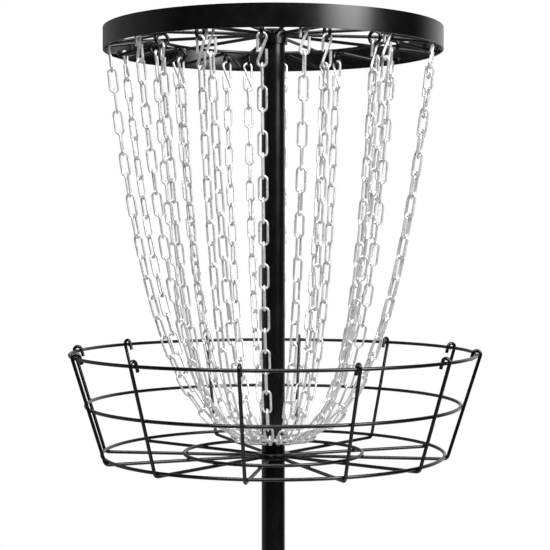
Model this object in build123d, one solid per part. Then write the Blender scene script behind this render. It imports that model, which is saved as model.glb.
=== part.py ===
from build123d import *
import math
import os

from scipy.optimize import fsolve

# Portable disc golf basket, in millimetres.
# Z is up, the floor is Z = 0 and the pole stands on the Z axis.
# An azimuth is counted in degrees from the front (-Y) towards the right (+X).

# --- Driving dimensions ---
COUNT = 12                  # uprights, top spokes, outer chains and inner chains
STEP = 360 / COUNT
RIM_HEIGHT = 820.0          # centre of the rim ring above the floor
BAND_GAP = 489.5            # from the rim ring up to the lower edge of the band
BAND_RADIUS = 275.0
BAND_HEIGHT = 35.0
BAND_WALL = 2.5
POLE_RADIUS = 19.05
POLE_WALL = 2.0
WIRE = 2.75                 # radius of the frame wire
WELD = 0.3                  # how far one welded wire sinks into another

# --- Basket ---
RIM_RADIUS = 329.0
MIDDLE_RADIUS = 303.5
MIDDLE_DROP = 82.0
BOTTOM_RADIUS = 278.0
BOTTOM_DROP = 162.0
FLOOR_RING_RADIUS = 145.0
UPRIGHT_AZIMUTH = 21.75
UPRIGHT_BEND = 8.0
HOOK_BEND = 6.1
HOOK_RISE = 1.1
HOOK_TAIL = 12.5
HUB_RADIUS = 27.0
HUB_HEIGHT = 10.0
HUB_ROUNDING = 2.0

BOTTOM_HEIGHT = RIM_HEIGHT - BOTTOM_DROP
MIDDLE_HEIGHT = RIM_HEIGHT - MIDDLE_DROP
TOUCH = 2 * WIRE - WELD
SPOKE_HEIGHT = BOTTOM_HEIGHT - TOUCH
FLARE = math.atan2(RIM_RADIUS - BOTTOM_RADIUS, BOTTOM_DROP)

# --- Top assembly ---
SPOKE_AZIMUTH = 10.0
EYE_AZIMUTH = SPOKE_AZIMUTH - STEP / 2
BAND_BOTTOM = RIM_HEIGHT + BAND_GAP
BAND_TOP = BAND_BOTTOM + BAND_HEIGHT
BAND_BORE = BAND_RADIUS - BAND_WALL
TOP_SPOKE_HEIGHT = BAND_TOP - 7.0
TOP_HUB_RADIUS = 23.0
TOP_HUB_HEIGHT = 21.0
POLE_TOP = BAND_TOP - 2.0
HANGER_RING_RADIUS = 192.0
HANGER_RING_HEIGHT = TOP_SPOKE_HEIGHT - TOUCH
EYE_WIRE = 2.7
EYE_BEND = 9.75
EYE_HEIGHT = HANGER_RING_HEIGHT - WIRE - EYE_BEND - EYE_WIRE + 2 * WELD
HANGER_RADIUS = 254.0       # drop leg of each outer hanger
HANGER_BEND = 6.0
HANGER_HEIGHT = 1317.0
OUTER_HANG_RADIUS = 266.0   # where an outer chain rests on its hanger
BRACE_HEIGHT = BAND_BOTTOM + 4.0
BRACE_SPREAD = 2.5
EYE_SPREAD = 2.2

# --- Chains ---
LINK_WIRE = 1.75
LINK_LENGTH = 41.0
LINK_WIDTH = 16.2
LINK_PLAY = 0.45
PITCH = LINK_LENGTH - 4 * LINK_WIRE - LINK_PLAY
HOOK_WIRE = 2.1
HOOK_LENGTH = 54.0
HOOK_WIDTH = 17.5
HOOK_PLAY = 0.4
RING_WIRE = 2.6
RING_RADIUS = 36.0
RING_HEIGHT = 681.5
RING_PLAY = 0.4
OUTER_LINKS = 20
INNER_LINKS = 19
END_LINKS = 2               # lowest links of each chain, kept still by the ring

# --- Base ---
BAR = 8.0                   # radius of the round bar
BASE_RADIUS = 290.0
FOOT_RADIUS = 16.0
FOOT_HEIGHT = 14.0
FOOT_CLEARANCE = 8.0
BAR_HEIGHT = FOOT_CLEARANCE + BAR
BASE_SPOKES = 4
SOCKET_RADIUS = 24.0
SOCKET_BORE = 19.2
SOCKET_FLOOR = 4.0
SOCKET_HEIGHT = 132.0
SLEEVE_LENGTH = 160.0
SLEEVE_PLAY = 0.05


def turned(azimuth, shape):
    """Turn a shape built on the +X side to an azimuth."""
    return Rot(0, 0, azimuth - 90) * shape


def around(shape, first, count=COUNT):
    """Copies of a shape, evenly spaced about the pole from a first azimuth."""
    return [turned(first + k * 360 / count, shape) for k in range(count)]


def group(solids):
    """One node made of separate solids."""
    return Compound(children=list(solids))


def tube(radius, bore, bottom, height):
    """An upright tube, or a disc when the bore is zero."""
    outer = Pos(0, 0, bottom) * Cylinder(radius, height, align=(Align.CENTER, Align.CENTER, Align.MIN))
    if not bore:
        return outer
    inner = Pos(0, 0, bottom) * Cylinder(bore, height, align=(Align.CENTER, Align.CENTER, Align.MIN))
    return outer - inner


def rod(start, end, radius):
    """A straight round rod between two points."""
    start = Vector(*start)
    along = Vector(*end) - start
    return extrude(Plane(origin=start, z_dir=along) * Circle(radius), amount=along.length)


def bent_rod(edges, radius):
    """A round rod swept along joined lines and arcs."""
    path = Wire(edges)
    return sweep(Plane(origin=path @ 0, z_dir=path % 0) * Circle(radius), path=path)


def hoop(radius, height, wire=WIRE):
    """A level wire ring about the pole."""
    return Pos(0, 0, height) * Torus(radius, wire)


def polar(radius, azimuth, height):
    """A point at a radius, azimuth and height."""
    a = math.radians(azimuth - 90)
    return (radius * math.cos(a), radius * math.sin(a), height)


# --- Base ---
def base_ring():
    return hoop(BASE_RADIUS, BAR_HEIGHT, BAR)


def base_socket():
    wall = tube(SOCKET_RADIUS, SOCKET_BORE, FOOT_CLEARANCE + SOCKET_FLOOR, SOCKET_HEIGHT - SOCKET_FLOOR)
    return wall + tube(SOCKET_RADIUS, 0, FOOT_CLEARANCE, SOCKET_FLOOR)


def base_spokes():
    spoke = rod((0, 0, BAR_HEIGHT), (BASE_RADIUS, 0, BAR_HEIGHT), BAR)
    spoke -= tube(SOCKET_RADIUS, 0, 0, SOCKET_HEIGHT)
    spoke -= base_ring()
    between = spoke.solids().sort_by(lambda s: s.volume)[-1]
    return group(around(between, 45, BASE_SPOKES))


def base_feet():
    foot = Pos(BASE_RADIUS, 0, 0) * tube(FOOT_RADIUS, 0, 0, FOOT_HEIGHT)
    foot -= base_ring()
    foot -= rod((0, 0, BAR_HEIGHT), (BASE_RADIUS, 0, BAR_HEIGHT), BAR)
    return group(around(foot, 45, BASE_SPOKES))


# --- Pole ---
def lower_pole():
    bottom = FOOT_CLEARANCE + SOCKET_FLOOR
    return tube(POLE_RADIUS, POLE_RADIUS - POLE_WALL, bottom, SPOKE_HEIGHT - bottom)


def upper_pole():
    return tube(POLE_RADIUS, POLE_RADIUS - POLE_WALL, SPOKE_HEIGHT, POLE_TOP - SPOKE_HEIGHT)


def pole_sleeve():
    radius = POLE_RADIUS - POLE_WALL - SLEEVE_PLAY
    return tube(radius, radius - POLE_WALL, SPOKE_HEIGHT - SLEEVE_LENGTH / 2, SLEEVE_LENGTH)


def pole_cap():
    plug = tube(POLE_RADIUS - POLE_WALL - SLEEVE_PLAY, 0, POLE_TOP - 12, 12)
    head = tube(POLE_RADIUS, 0, POLE_TOP, 3)
    return plug + fillet(head.edges().group_by(Axis.Z)[-1], 1.5)


# --- Basket ---
def basket_hub():
    """A collar with rounded outer edges."""
    collar = tube(HUB_RADIUS, 0, SPOKE_HEIGHT - HUB_HEIGHT / 2, HUB_HEIGHT)
    collar = fillet(collar.edges().filter_by(GeomType.CIRCLE), HUB_ROUNDING)
    return collar - tube(POLE_RADIUS, 0, SPOKE_HEIGHT - HUB_HEIGHT, 2 * HUB_HEIGHT)


def upright_line(height):
    """Radius of an upright's centre line at a height."""
    return BOTTOM_RADIUS + TOUCH / math.cos(FLARE) + (height - BOTTOM_HEIGHT) * math.tan(FLARE)


def bend_start():
    """Radius where a floor spoke starts to bend up."""
    return upright_line(SPOKE_HEIGHT) - UPRIGHT_BEND * math.tan((math.pi / 2 - FLARE) / 2)


def basket_floor_spokes():
    spoke = rod((HUB_RADIUS - WELD, 0, SPOKE_HEIGHT), (bend_start(), 0, SPOKE_HEIGHT), WIRE)
    return group(around(spoke, UPRIGHT_AZIMUTH))


def basket_uprights():
    """Each wire bends up out of the floor, leans outwards and hooks over the rim."""
    up = Vector(math.sin(FLARE), 0, math.cos(FLARE))
    inward = Vector(-math.cos(FLARE), 0, math.sin(FLARE))
    start = Vector(bend_start(), 0, SPOKE_HEIGHT)
    centre = start + Vector(0, 0, UPRIGHT_BEND)
    low = centre - inward * UPRIGHT_BEND
    middle = centre + (low + start - centre * 2).normalized() * UPRIGHT_BEND
    rim = Vector(RIM_RADIUS, 0, RIM_HEIGHT)
    arch = rim + up * HOOK_RISE - inward * (TOUCH - HOOK_BEND)
    high = arch - inward * HOOK_BEND
    tail = arch + inward * HOOK_BEND
    edges = [
        ThreePointArc(start, middle, low),
        Line(low, high),
        ThreePointArc(high, arch + up * HOOK_BEND, tail),
        Line(tail, tail - up * HOOK_TAIL),
    ]
    return group(around(bent_rod(edges, WIRE), UPRIGHT_AZIMUTH))


# --- Top assembly ---
def top_hub():
    return tube(TOP_HUB_RADIUS, POLE_RADIUS, POLE_TOP - TOP_HUB_HEIGHT, TOP_HUB_HEIGHT)


def top_spokes():
    inner = (TOP_HUB_RADIUS - WELD, 0, TOP_SPOKE_HEIGHT)
    outer = (BAND_BORE + WELD, 0, TOP_SPOKE_HEIGHT)
    return group(around(rod(inner, outer, WIRE), SPOKE_AZIMUTH))


def top_band():
    return tube(BAND_RADIUS, BAND_BORE, BAND_BOTTOM, BAND_HEIGHT)


def hanger_eyes():
    """Round eyes under the hanger ring, one for each inner chain."""
    eye = Pos(HANGER_RING_RADIUS, 0, EYE_HEIGHT) * Rot(90, 0, 0) * Torus(EYE_BEND, EYE_WIRE)
    return group(around(eye, EYE_AZIMUTH))


def outer_hangers():
    """A short bent wire under each spoke's end, which an outer chain hangs on."""
    turn = Vector(HANGER_RADIUS + HANGER_BEND, 0, HANGER_HEIGHT + HANGER_BEND)
    leg = Vector(HANGER_RADIUS, 0, turn.Z)
    foot = Vector(turn.X, 0, HANGER_HEIGHT)
    half = math.radians(225)
    middle = turn + Vector(math.cos(half), 0, math.sin(half)) * HANGER_BEND
    edges = [
        Line((HANGER_RADIUS, 0, TOP_SPOKE_HEIGHT - TOUCH / 2), leg),
        ThreePointArc(leg, middle, foot),
        Line(foot, (BAND_BORE + WELD, 0, HANGER_HEIGHT)),
    ]
    return group(around(bent_rod(edges, WIRE), SPOKE_AZIMUTH))


def hanger_braces():
    """Sloping wires from beside each outer hanger to both sides of the eyes."""
    braces = []
    for k in range(COUNT):
        spoke = SPOKE_AZIMUTH + k * STEP
        for side in (-1, 1):
            low = polar(BAND_BORE - WELD, spoke + side * BRACE_SPREAD, BRACE_HEIGHT)
            high = polar(HANGER_RING_RADIUS - 2, spoke + side * (STEP / 2 - EYE_SPREAD),
                         HANGER_RING_HEIGHT - TOUCH + WELD)
            braces.append(rod(low, high, WIRE))
    return group(braces)


# --- Chains ---
def link():
    """One welded chain link, long way up, lying in the XZ plane."""
    bend = LINK_WIDTH / 2 - LINK_WIRE
    half = LINK_LENGTH / 2 - LINK_WIRE - bend
    top = Vector(0, 0, half + bend)
    edges = [
        Line((bend, 0, -half), (bend, 0, half)),
        ThreePointArc((bend, 0, half), top, (-bend, 0, half)),
        Line((-bend, 0, half), (-bend, 0, -half)),
        ThreePointArc((-bend, 0, -half), -top, (bend, 0, -half)),
    ]
    return bent_rod(edges, LINK_WIRE)


def s_hook():
    """An open S of wire in the YZ plane, centred on the origin."""
    bend = HOOK_WIDTH / 2 - HOOK_WIRE
    centre = HOOK_LENGTH / 2 - HOOK_WIRE - bend
    tilt = math.asin(bend / centre)
    leave = Vector(0, bend * math.cos(tilt), centre - bend * math.sin(tilt))
    edges = [
        Line((0, -bend, -1), (0, -bend, centre)),
        ThreePointArc((0, -bend, centre), (0, 0, centre + bend), leave),
        Line(leave, -leave),
        ThreePointArc(-leave, (0, 0, -centre - bend), (0, bend, -centre)),
        Line((0, bend, -centre), (0, bend, 1)),
    ]
    return bent_rod(edges, HOOK_WIRE)


def rest_points(top, bottom, lengths):
    """Joints of a row of rigid pieces that hangs at rest between two points."""
    loads = [i + 0.5 for i in range(len(lengths))]

    def steps(pull, lift):
        spans = [math.hypot(pull, lift - load) for load in loads]
        return [(n * pull / s, n * (lift - load) / s) for n, s, load in zip(lengths, spans, loads)]

    def miss(forces):
        moves = steps(*forces)
        return (sum(m[0] for m in moves) - top[0] + bottom[0],
                sum(m[1] for m in moves) - top[1] + bottom[1])

    forces = fsolve(miss, (2.0, len(lengths) - 0.5))
    points = [top]
    for across, down in steps(*forces):
        points.append((points[-1][0] - across, points[-1][1] - down))
    return points


def piece_between(shape, upper, lower, centre_offset, roll):
    """Place an upright shape so that it hangs from one joint towards the next."""
    along = Vector(upper[0] - lower[0], 0, upper[1] - lower[1]).normalized()
    lean = math.degrees(math.atan2(along.X, along.Z))
    origin = Vector(upper[0], 0, upper[1]) - along * centre_offset
    return Pos(*origin) * Rot(0, lean, 0) * Rot(0, 0, roll) * shape


def hanging_chain(top, hang_wire, links):
    """S-hook and links from the wire they hang on down to the chain ring."""
    top_gap = hang_wire + 2 * HOOK_WIRE + HOOK_PLAY
    hook_top = HOOK_LENGTH / 2 - top_gap
    hook_low = HOOK_LENGTH / 2 - 2 * HOOK_WIRE - LINK_PLAY / 2
    hook_span = hook_top + hook_low
    ring_gap = RING_WIRE + RING_PLAY - LINK_PLAY / 2
    lengths = [hook_span] + [PITCH] * (links - 1) + [PITCH - ring_gap]
    points = rest_points(top, (RING_RADIUS, RING_HEIGHT), lengths)
    pieces = [piece_between(s_hook(), points[0], points[1], hook_top, 0)]
    shape = link()
    twist = 90 * (links % 2 - 1)
    for k in range(links):
        roll = 90 * (k % 2) + twist * k / (links - 1)
        pieces.append(piece_between(shape, points[k + 1], points[k + 2], PITCH / 2, roll))
    return pieces, points


def chain_nodes():
    """The swinging chains, the still links at the ring, and the swing axes."""
    outer, outer_points = hanging_chain((OUTER_HANG_RADIUS, HANGER_HEIGHT), WIRE, OUTER_LINKS)
    inner_top = (HANGER_RING_RADIUS, EYE_HEIGHT - EYE_BEND)
    inner, inner_points = hanging_chain(inner_top, EYE_WIRE, INNER_LINKS)
    nodes = {}
    still = []
    for name, pieces, first in (("outer", outer, SPOKE_AZIMUTH), ("inner", inner, EYE_AZIMUTH)):
        for k in range(COUNT):
            azimuth = first + k * STEP
            swinging = [turned(azimuth, piece) for piece in pieces[:-END_LINKS]]
            still += [turned(azimuth, piece) for piece in pieces[-END_LINKS:]]
            nodes[f"{name}_chain_{k + 1:02d}"] = group(swinging)
    nodes["chain_end_links"] = group(still)
    for name, points in (("outer", outer_points), ("inner", inner_points)):
        print(name, "chain joints:", [(round(float(r), 2), round(float(z), 2)) for r, z in points])
        print(name, "swing axis from", points[0], "to", points[-1 - END_LINKS])
    return nodes


def build():
    nodes = {
        "base_ring": base_ring(),
        "base_spokes": base_spokes(),
        "base_socket": base_socket(),
        "base_feet": base_feet(),
        "lower_pole": lower_pole(),
        "pole_sleeve": pole_sleeve(),
        "upper_pole": upper_pole(),
        "pole_cap": pole_cap(),
        "basket_hub": basket_hub(),
        "basket_floor_spokes": basket_floor_spokes(),
        "basket_uprights": basket_uprights(),
        "basket_floor_ring": hoop(FLOOR_RING_RADIUS, BOTTOM_HEIGHT),
        "basket_bottom_ring": hoop(BOTTOM_RADIUS, BOTTOM_HEIGHT),
        "basket_middle_ring": hoop(MIDDLE_RADIUS, MIDDLE_HEIGHT),
        "basket_rim_ring": hoop(RIM_RADIUS, RIM_HEIGHT),
        "top_hub": top_hub(),
        "top_spokes": top_spokes(),
        "top_band": top_band(),
        "hanger_ring": hoop(HANGER_RING_RADIUS, HANGER_RING_HEIGHT),
        "hanger_eyes": hanger_eyes(),
        "outer_hangers": outer_hangers(),
        "hanger_braces": hanger_braces(),
        "chain_ring": hoop(RING_RADIUS, RING_HEIGHT, RING_WIRE),
    }
    nodes.update(chain_nodes())
    os.makedirs("parts", exist_ok=True)
    for name, shape in nodes.items():
        export_step(shape, f"parts/{name}.step")
    print(len(nodes), "nodes")


build()
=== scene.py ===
import math

import bmesh
import bpy
from mathutils import Matrix, Vector, noise


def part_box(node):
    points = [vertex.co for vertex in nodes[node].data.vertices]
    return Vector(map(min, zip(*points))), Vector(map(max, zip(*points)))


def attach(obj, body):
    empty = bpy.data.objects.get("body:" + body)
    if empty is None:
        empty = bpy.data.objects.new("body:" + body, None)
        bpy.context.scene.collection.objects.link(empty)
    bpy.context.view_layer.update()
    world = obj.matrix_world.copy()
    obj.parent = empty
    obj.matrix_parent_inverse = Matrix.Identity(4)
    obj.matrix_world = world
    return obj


# Looks of the disc golf basket, in metres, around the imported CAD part.
# The CAD parts keep their shapes. The weld beads are the only geometry added here.

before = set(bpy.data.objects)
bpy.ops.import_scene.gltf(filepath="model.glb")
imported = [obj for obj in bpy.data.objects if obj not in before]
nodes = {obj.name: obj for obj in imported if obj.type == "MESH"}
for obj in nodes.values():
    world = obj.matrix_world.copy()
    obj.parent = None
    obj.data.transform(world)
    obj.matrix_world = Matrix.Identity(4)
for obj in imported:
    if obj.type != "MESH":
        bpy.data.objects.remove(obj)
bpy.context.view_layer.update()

# --- Layout shared with the CAD source ---
COUNT = 12
UPRIGHT_AZIMUTH = 21.75
SPOKE_AZIMUTH = 10.0
EYE_AZIMUTH = SPOKE_AZIMUTH - 180 / COUNT
BASE_AZIMUTH = 45.0
BASE_BARS = 4
BRACE_SPREAD = 2.5
BRACE_RISE = 0.004
BAND_WALL = 0.0025

# --- Camera ---
CAMERA_PLACE = (0.0028, -2.3736, 1.0016)
CAMERA_PITCH = 88.688
LENS = 95.44
SENSOR = 36.0

# --- Light ---
BACKDROP_WHITE = 1.0
ROOM_DARK = 0.02
# Pale walls of the room: azimuth, elevation, how wide each one spreads as a share, and its strength.
ROOM_WALLS = ((154, 12, 0.27, 0.85), (-122, 8, 0.55, 0.26))
# Softboxes: name, azimuth, elevation, distance, width, height and power.
SOFTBOXES = (
    ("key_right", 48.0, 28, 3.0, 1.75, 1.7, 80),
    ("key_core", 49.0, 28, 2.95, 0.85, 1.7, 38),
    ("front_left", -24, 44, 3.2, 1.6, 1.0, 84),
    ("front_right", 14, 48, 3.2, 1.4, 1.0, 46),
    ("overhead", 180, 75, 2.8, 2.0, 2.0, 30),
)
AIM = (0, 0, 1.1)
FLOOR_RADIUS = 2.2
FLOOR_FADE_START = 0.35
FLOOR_FADE_END = 0.98

# --- Weld beads ---
COLLAR_STEPS = 40
COLLAR_SIDES = 12
WIRE_BEAD = 0.0013
HUB_BEAD = 0.0014
BAR_BEAD = 0.0028
# Half sizes of the weld nuggets: across the radius, along it, and up.
CROSSING_BLOB = (0.0034, 0.0036, 0.0015)
MIDDLE_BLOB = (0.0034, 0.0015, 0.0036)
RIM_BLOB = (0.0032, 0.0013, 0.0028)
BRACE_BLOB = (0.0040, 0.0016, 0.0036)
EYE_BLOB = (0.0042, 0.0030, 0.0016)
RIM_BLOB_DROP = 0.0006


# --- Node helpers ---
def new_material(name):
    """A material with one Principled shader, and its nodes and shader."""
    material = bpy.data.materials.new(name)
    material.use_nodes = True
    tree = material.node_tree
    return material, tree, tree.nodes["Principled BSDF"]


def object_noise(tree, scale, detail=2.0, roughness=0.5, stretch=None):
    """Noise in the object's own space, so that it moves with its body."""
    place = tree.nodes.new("ShaderNodeTexCoord")
    texture = tree.nodes.new("ShaderNodeTexNoise")
    texture.inputs["Scale"].default_value = scale
    texture.inputs["Detail"].default_value = detail
    texture.inputs["Roughness"].default_value = roughness
    source = place.outputs["Object"]
    if stretch:
        mapping = tree.nodes.new("ShaderNodeMapping")
        mapping.inputs["Scale"].default_value = stretch
        tree.links.new(source, mapping.inputs["Vector"])
        source = mapping.outputs["Vector"]
    tree.links.new(source, texture.inputs["Vector"])
    return texture.outputs["Fac"]


def ranged(tree, value, low, high, start=0.3, end=0.7):
    """A value's span from start to end, mapped to low and high."""
    node = tree.nodes.new("ShaderNodeMapRange")
    node.inputs["From Min"].default_value = start
    node.inputs["From Max"].default_value = end
    node.inputs["To Min"].default_value = low
    node.inputs["To Max"].default_value = high
    tree.links.new(value, node.inputs["Value"])
    return node.outputs["Result"]


def mixed(tree, share, first, second):
    """Two colours, or a socket and a colour, mixed by a share."""
    node = tree.nodes.new("ShaderNodeMix")
    node.data_type = "RGBA"
    tree.links.new(share, node.inputs["Factor"])
    for socket, value in ((node.inputs["A"], first), (node.inputs["B"], second)):
        if isinstance(value, bpy.types.NodeSocket):
            tree.links.new(value, socket)
        else:
            socket.default_value = (*value, 1.0)
    return node.outputs["Result"]


def bumps(tree, shader, height, strength, distance, below=None):
    """Small relief on a shader, over an optional first relief."""
    node = tree.nodes.new("ShaderNodeBump")
    node.inputs["Strength"].default_value = strength
    node.inputs["Distance"].default_value = distance
    tree.links.new(height, node.inputs["Height"])
    if below:
        tree.links.new(below, node.inputs["Normal"])
    tree.links.new(node.outputs["Normal"], shader.inputs["Normal"])
    return node.outputs["Normal"]


# --- Materials ---
def powder_coat():
    """Black powder coat: a fine orange peel, uneven gloss and a few pale scuffs."""
    material, tree, shader = new_material("powder_coat_black")
    patches = ranged(tree, object_noise(tree, 14, 4), 0, 1)
    tone = mixed(tree, patches, (0.0006, 0.0006, 0.0007), (0.0018, 0.0018, 0.0019))
    scuffs = ranged(tree, object_noise(tree, 160, 5, 0.65, (1, 1, 0.35)), 0, 0.35, 0.68, 0.76)
    tree.links.new(mixed(tree, scuffs, tone, (0.02, 0.02, 0.02)), shader.inputs["Base Color"])
    tree.links.new(ranged(tree, object_noise(tree, 45, 5), 0.20, 0.27), shader.inputs["Roughness"])
    shader.inputs["Specular IOR Level"].default_value = 0.5
    peel = bumps(tree, shader, object_noise(tree, 620, 2), 0.10, 0.0003)
    bumps(tree, shader, object_noise(tree, 90, 3), 0.05, 0.0006, peel)
    return material


def zinc():
    """Bright zinc plate on drawn wire: light grey with soft patches and fine pits."""
    material, tree, shader = new_material("zinc_plate")
    patches = ranged(tree, object_noise(tree, 70, 4), 0, 1)
    tone = mixed(tree, patches, (0.68, 0.68, 0.69), (0.86, 0.86, 0.86))
    dull = ranged(tree, object_noise(tree, 240, 4, 0.7), 0, 0.25, 0.60, 0.74)
    tree.links.new(mixed(tree, dull, tone, (0.62, 0.62, 0.63)), shader.inputs["Base Color"])
    shader.inputs["Metallic"].default_value = 0.62
    tree.links.new(ranged(tree, object_noise(tree, 130, 3), 0.24, 0.42), shader.inputs["Roughness"])
    bumps(tree, shader, object_noise(tree, 900, 3), 0.16, 0.0002)
    return material


def bare_steel():
    """Plain drawn steel of the sleeve inside the pole."""
    material, tree, shader = new_material("bare_steel")
    lines = ranged(tree, object_noise(tree, 300, 3, 0.5, (1, 1, 0.03)), 0, 1)
    tree.links.new(mixed(tree, lines, (0.30, 0.30, 0.31), (0.42, 0.42, 0.43)), shader.inputs["Base Color"])
    shader.inputs["Metallic"].default_value = 1.0
    tree.links.new(ranged(tree, object_noise(tree, 60, 3), 0.35, 0.55), shader.inputs["Roughness"])
    bumps(tree, shader, object_noise(tree, 300, 3, 0.5, (1, 1, 0.03)), 0.1, 0.0002)
    return material


def foot_rubber():
    """Matt black rubber with a dusty bloom."""
    material, tree, shader = new_material("foot_rubber")
    dust = ranged(tree, object_noise(tree, 60, 5), 0, 1)
    tree.links.new(mixed(tree, dust, (0.012, 0.012, 0.012), (0.03, 0.03, 0.029)), shader.inputs["Base Color"])
    tree.links.new(ranged(tree, object_noise(tree, 120, 3), 0.70, 0.88), shader.inputs["Roughness"])
    bumps(tree, shader, object_noise(tree, 700, 3), 0.3, 0.0003)
    return material


def cap_plastic():
    """Moulded black plastic with a fine grain."""
    material, tree, shader = new_material("cap_plastic")
    patches = ranged(tree, object_noise(tree, 40, 3), 0, 1)
    tone = mixed(tree, patches, (0.010, 0.010, 0.010), (0.018, 0.018, 0.018))
    tree.links.new(tone, shader.inputs["Base Color"])
    tree.links.new(ranged(tree, object_noise(tree, 200, 2), 0.42, 0.55), shader.inputs["Roughness"])
    bumps(tree, shader, object_noise(tree, 1500, 2), 0.2, 0.0001)
    return material


# --- Weld beads ---
def polar(radius, azimuth, height):
    """A point at a radius, azimuth and height, with azimuth 0 at the front."""
    a = math.radians(azimuth - 90)
    return Vector((radius * math.cos(a), radius * math.sin(a), height))


def direction(azimuth, elevation):
    """A unit vector at an azimuth, and at an angle above the level."""
    rise = math.radians(elevation)
    return polar(math.cos(rise), azimuth, math.sin(rise))


def ring_line(node):
    """Centre radius, height and wire radius of a level wire ring."""
    low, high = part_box(node)
    wire = (high.z - low.z) / 2
    return high.x - wire, (high.z + low.z) / 2, wire


def add_blob(mesh, centre, size, turn):
    """A lumpy weld nugget: a ball squashed to three half sizes, turned about Z."""
    made = bmesh.ops.create_icosphere(mesh, subdivisions=3, radius=1.0)
    rotation = Matrix.Rotation(turn, 3, "Z")
    for vertex in made["verts"]:
        lump = 1 + 0.16 * noise.noise(vertex.co * 1.7 + centre * 90)
        squashed = Vector([vertex.co[i] * size[i] * lump for i in range(3)])
        vertex.co = centre + rotation @ squashed


def add_collar(mesh, centre, along, radius, bead):
    """A weld bead right round a rod, with the small ripples of a welder's passes."""
    side = along.orthogonal().normalized()
    up = along.cross(side)
    rows = []
    for i in range(COLLAR_STEPS):
        a = 2 * math.pi * i / COLLAR_STEPS
        outward = side * math.cos(a) + up * math.sin(a)
        swell = bead * (1 + 0.14 * math.sin(a * 9) + 0.12 * noise.noise(outward * 2 + centre * 60))
        row = []
        for j in range(COLLAR_SIDES):
            b = 2 * math.pi * j / COLLAR_SIDES
            spot = centre + outward * (radius + swell * math.cos(b) * 0.8) + along * (swell * math.sin(b))
            row.append(mesh.verts.new(spot))
        rows.append(row)
    for i in range(COLLAR_STEPS):
        for j in range(COLLAR_SIDES):
            near, far = rows[i], rows[(i + 1) % COLLAR_STEPS]
            k = (j + 1) % COLLAR_SIDES
            mesh.faces.new((near[j], near[k], far[k], far[j]))


def finish_piece(mesh, name, material, body):
    """Turn the mesh under construction into a smooth piece that rides on a body."""
    bmesh.ops.recalc_face_normals(mesh, faces=mesh.faces)
    data = bpy.data.meshes.new(name)
    mesh.to_mesh(data)
    mesh.free()
    for polygon in data.polygons:
        polygon.use_smooth = True
    data.materials.append(material)
    piece = bpy.data.objects.new(name, data)
    bpy.context.scene.collection.objects.link(piece)
    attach(piece, body)


def azimuths(first, count=COUNT):
    """Evenly spaced azimuths about the pole from a first one."""
    return [first + k * 360 / count for k in range(count)]


def basket_welds(material):
    """Nuggets where the wires of the basket cross, and beads round the hub's rods."""
    mesh = bmesh.new()
    spoke_low, spoke_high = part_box("basket_floor_spokes")
    spoke_height = (spoke_low.z + spoke_high.z) / 2
    wire = (spoke_high.z - spoke_low.z) / 2
    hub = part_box("basket_hub")[1].x
    middle_radius, middle_height, middle_wire = ring_line("basket_middle_ring")
    rim_radius, rim_height, rim_wire = ring_line("basket_rim_ring")
    for azimuth in azimuths(UPRIGHT_AZIMUTH):
        turn = math.radians(azimuth)
        outward = polar(1, azimuth, 0)
        for ring in ("basket_bottom_ring", "basket_floor_ring"):
            radius, height, _ = ring_line(ring)
            contact = polar(radius, azimuth, (height + spoke_height) / 2)
            add_blob(mesh, contact, CROSSING_BLOB, turn)
        add_collar(mesh, polar(hub, azimuth, spoke_height), outward, wire, WIRE_BEAD)
        contact = polar(middle_radius + middle_wire, azimuth, middle_height)
        add_blob(mesh, contact, MIDDLE_BLOB, turn)
        for side in (rim_wire, -rim_wire):
            contact = polar(rim_radius + side, azimuth, rim_height - RIM_BLOB_DROP)
            add_blob(mesh, contact, RIM_BLOB, turn)
    finish_piece(mesh, "basket_welds", material, "frame")


def top_welds(material):
    """Beads at the top collar, the band, the hanger ring, the eyes and the brace feet."""
    mesh = bmesh.new()
    spoke_low, spoke_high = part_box("top_spokes")
    spoke_height = (spoke_low.z + spoke_high.z) / 2
    wire = (spoke_high.z - spoke_low.z) / 2
    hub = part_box("top_hub")[1].x
    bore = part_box("top_band")[1].x - BAND_WALL
    hanger_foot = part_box("outer_hangers")[0].z + wire
    brace_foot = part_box("top_band")[0].z + BRACE_RISE
    ring_radius, ring_height, ring_wire = ring_line("hanger_ring")
    for azimuth in azimuths(SPOKE_AZIMUTH):
        outward = polar(1, azimuth, 0)
        turn = math.radians(azimuth)
        add_collar(mesh, polar(hub, azimuth, spoke_height), outward, wire, HUB_BEAD)
        contact = polar(ring_radius, azimuth, (spoke_height + ring_height) / 2)
        add_blob(mesh, contact, CROSSING_BLOB, turn)
        for height in (spoke_height, hanger_foot):
            add_collar(mesh, polar(bore, azimuth, height), outward, wire, WIRE_BEAD)
        for spread in (-BRACE_SPREAD, BRACE_SPREAD):
            brace = azimuth + spread
            contact = polar(bore, brace, brace_foot)
            add_blob(mesh, contact, BRACE_BLOB, math.radians(brace))
    for azimuth in azimuths(EYE_AZIMUTH):
        contact = polar(ring_radius, azimuth, ring_height - ring_wire)
        add_blob(mesh, contact, EYE_BLOB, math.radians(azimuth))
    finish_piece(mesh, "top_welds", material, "frame")


def base_welds(material):
    """Beads round the base's bars where they meet the socket and the ring."""
    mesh = bmesh.new()
    radius, height, bar = ring_line("base_ring")
    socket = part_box("base_socket")[1].x
    for azimuth in azimuths(BASE_AZIMUTH, BASE_BARS):
        outward = polar(1, azimuth, 0)
        for distance in (socket, radius - bar):
            add_collar(mesh, polar(distance, azimuth, height), outward, bar, BAR_BEAD)
    finish_piece(mesh, "base_welds", material, "frame")


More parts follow.
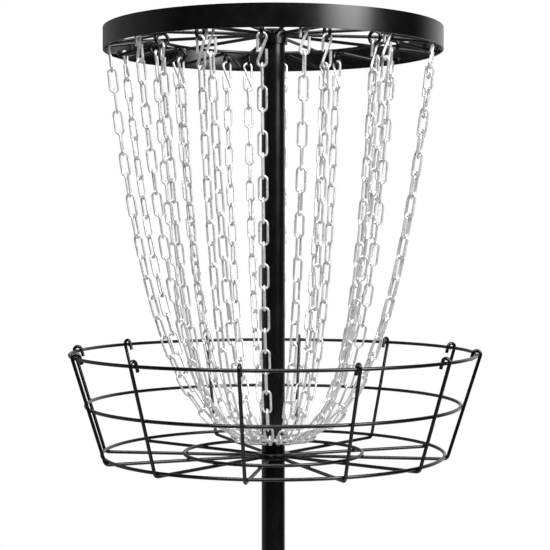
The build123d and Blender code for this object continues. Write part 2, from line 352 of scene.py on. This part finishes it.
# --- Studio ---
def studio_world():
    """White all round for the camera, and a dark room with two pale walls for reflections."""
    world = bpy.data.worlds.new("studio")
    bpy.context.scene.world = world
    world.use_nodes = True
    tree = world.node_tree
    tree.nodes.clear()
    place = tree.nodes.new("ShaderNodeTexCoord")
    room = None
    for azimuth, elevation, spread, strength in ROOM_WALLS:
        facing = tree.nodes.new("ShaderNodeVectorMath")
        facing.operation = "DOT_PRODUCT"
        facing.inputs[1].default_value = direction(azimuth, elevation)
        tree.links.new(place.outputs["Generated"], facing.inputs[0])
        wall = tree.nodes.new("ShaderNodeMapRange")
        wall.interpolation_type = "SMOOTHSTEP"
        wall.inputs["From Min"].default_value = 1 - spread
        wall.inputs["From Max"].default_value = 1.0
        wall.inputs["To Max"].default_value = strength
        tree.links.new(facing.outputs["Value"], wall.inputs["Value"])
        total = tree.nodes.new("ShaderNodeMath")
        total.inputs[1].default_value = ROOM_DARK
        tree.links.new(wall.outputs["Result"], total.inputs[0])
        if room:
            tree.links.new(room, total.inputs[1])
        room = total.outputs["Value"]
    path = tree.nodes.new("ShaderNodeLightPath")
    seen = tree.nodes.new("ShaderNodeMix")
    seen.data_type = "FLOAT"
    tree.links.new(path.outputs["Is Camera Ray"], seen.inputs["Factor"])
    tree.links.new(room, seen.inputs["A"])
    seen.inputs["B"].default_value = BACKDROP_WHITE
    background = tree.nodes.new("ShaderNodeBackground")
    background.inputs["Color"].default_value = (1, 1, 1, 1)
    tree.links.new(seen.outputs["Result"], background.inputs["Strength"])
    output = tree.nodes.new("ShaderNodeOutputWorld")
    tree.links.new(background.outputs["Background"], output.inputs["Surface"])


def soft_light(name, azimuth, elevation, distance, width, height, power):
    """A rectangular softbox round the basket, turned towards its middle."""
    data = bpy.data.lights.new(name, "AREA")
    data.shape = "RECTANGLE"
    data.size = width
    data.size_y = height
    data.energy = power
    light = bpy.data.objects.new(name, data)
    away = direction(azimuth, elevation)
    light.location = Vector(AIM) + away * distance
    light.rotation_mode = "QUATERNION"
    light.rotation_quaternion = (-away).to_track_quat("-Z", "Y")
    light.visible_camera = False
    bpy.context.scene.collection.objects.link(light)


def studio_floor():
    """A pale round floor that fades into the white room towards its edge."""
    mesh = bmesh.new()
    bmesh.ops.create_circle(mesh, cap_ends=True, segments=96, radius=FLOOR_RADIUS)
    data = bpy.data.meshes.new("floor")
    mesh.to_mesh(data)
    mesh.free()
    material, tree, shader = new_material("pale_floor")
    shader.inputs["Base Color"].default_value = (0.5, 0.5, 0.5, 1)
    shader.inputs["Roughness"].default_value = 0.9
    shader.inputs["Specular IOR Level"].default_value = 0.0
    place = tree.nodes.new("ShaderNodeTexCoord")
    reach = tree.nodes.new("ShaderNodeVectorMath")
    reach.operation = "LENGTH"
    tree.links.new(place.outputs["Object"], reach.inputs[0])
    start, end = FLOOR_RADIUS * FLOOR_FADE_START, FLOOR_RADIUS * FLOOR_FADE_END
    fade = ranged(tree, reach.outputs["Value"], 1, 0, start, end)
    tree.links.new(fade, shader.inputs["Alpha"])
    data.materials.append(material)
    floor = bpy.data.objects.new("floor", data)
    bpy.context.scene.collection.objects.link(floor)


def camera():
    """The camera at the front, a little above the rim and looking slightly down."""
    data = bpy.data.cameras.new("camera")
    data.lens = LENS
    data.sensor_width = SENSOR
    data.clip_end = 200
    eye = bpy.data.objects.new("camera", data)
    eye.location = CAMERA_PLACE
    eye.rotation_euler = (math.radians(CAMERA_PITCH), 0, 0)
    bpy.context.scene.collection.objects.link(eye)
    bpy.context.scene.camera = eye


# --- Build ---
finishes = {
    "black_paint": powder_coat(),
    "zinc": zinc(),
    "rubber": foot_rubber(),
    "cap_plastic": cap_plastic(),
}
for name, node in nodes.items():
    for material_slot in node.material_slots:
        old = material_slot.material.name.split(".")[0]
        material_slot.material = finishes[old]
nodes["pole_sleeve"].material_slots[0].material = bare_steel()

basket_welds(finishes["black_paint"])
top_welds(finishes["black_paint"])
base_welds(finishes["black_paint"])

camera()
studio_world()
studio_floor()
for softbox in SOFTBOXES:
    soft_light(*softbox)

bpy.context.scene.view_settings.view_transform = "Standard"
